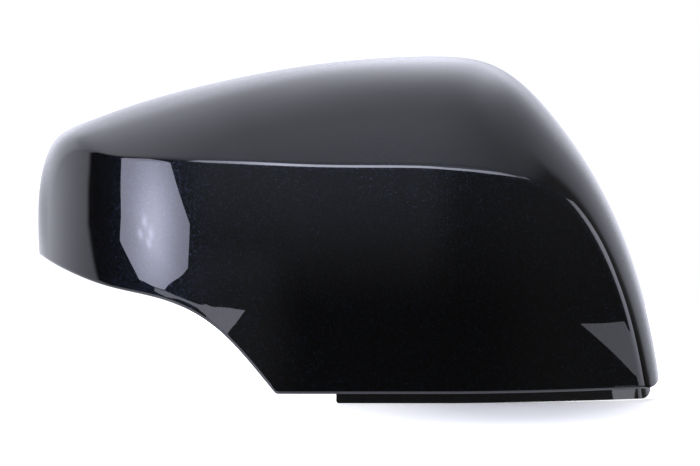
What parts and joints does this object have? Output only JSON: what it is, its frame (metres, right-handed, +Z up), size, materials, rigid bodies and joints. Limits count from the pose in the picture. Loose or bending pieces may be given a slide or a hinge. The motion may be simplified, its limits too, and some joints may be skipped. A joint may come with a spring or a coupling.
{
  "type": "wing mirror cover",
  "caption": "Gloss black wing mirror cover: a moulded shell with a creased hood, an arm cut-out under its inboard end, a joggled lower flange, and snap hooks and locating pins inside.",
  "frame": {"origin": "on the plane of the open rear rim, 60 mm above the lower edge of the front panel", "axes": "+X outboard from the car, +Y to the rear, out of the open rim, +Z up as fitted"},
  "size_m": [0.2404, 0.0821, 0.1303],
  "materials": {
    "paint": "gloss black metallic paint under clear coat, raw black plastic inside"
  },
  "bodies": {
    "root": {"mirror_cover": "paint"}
  },
  "joints": []
}
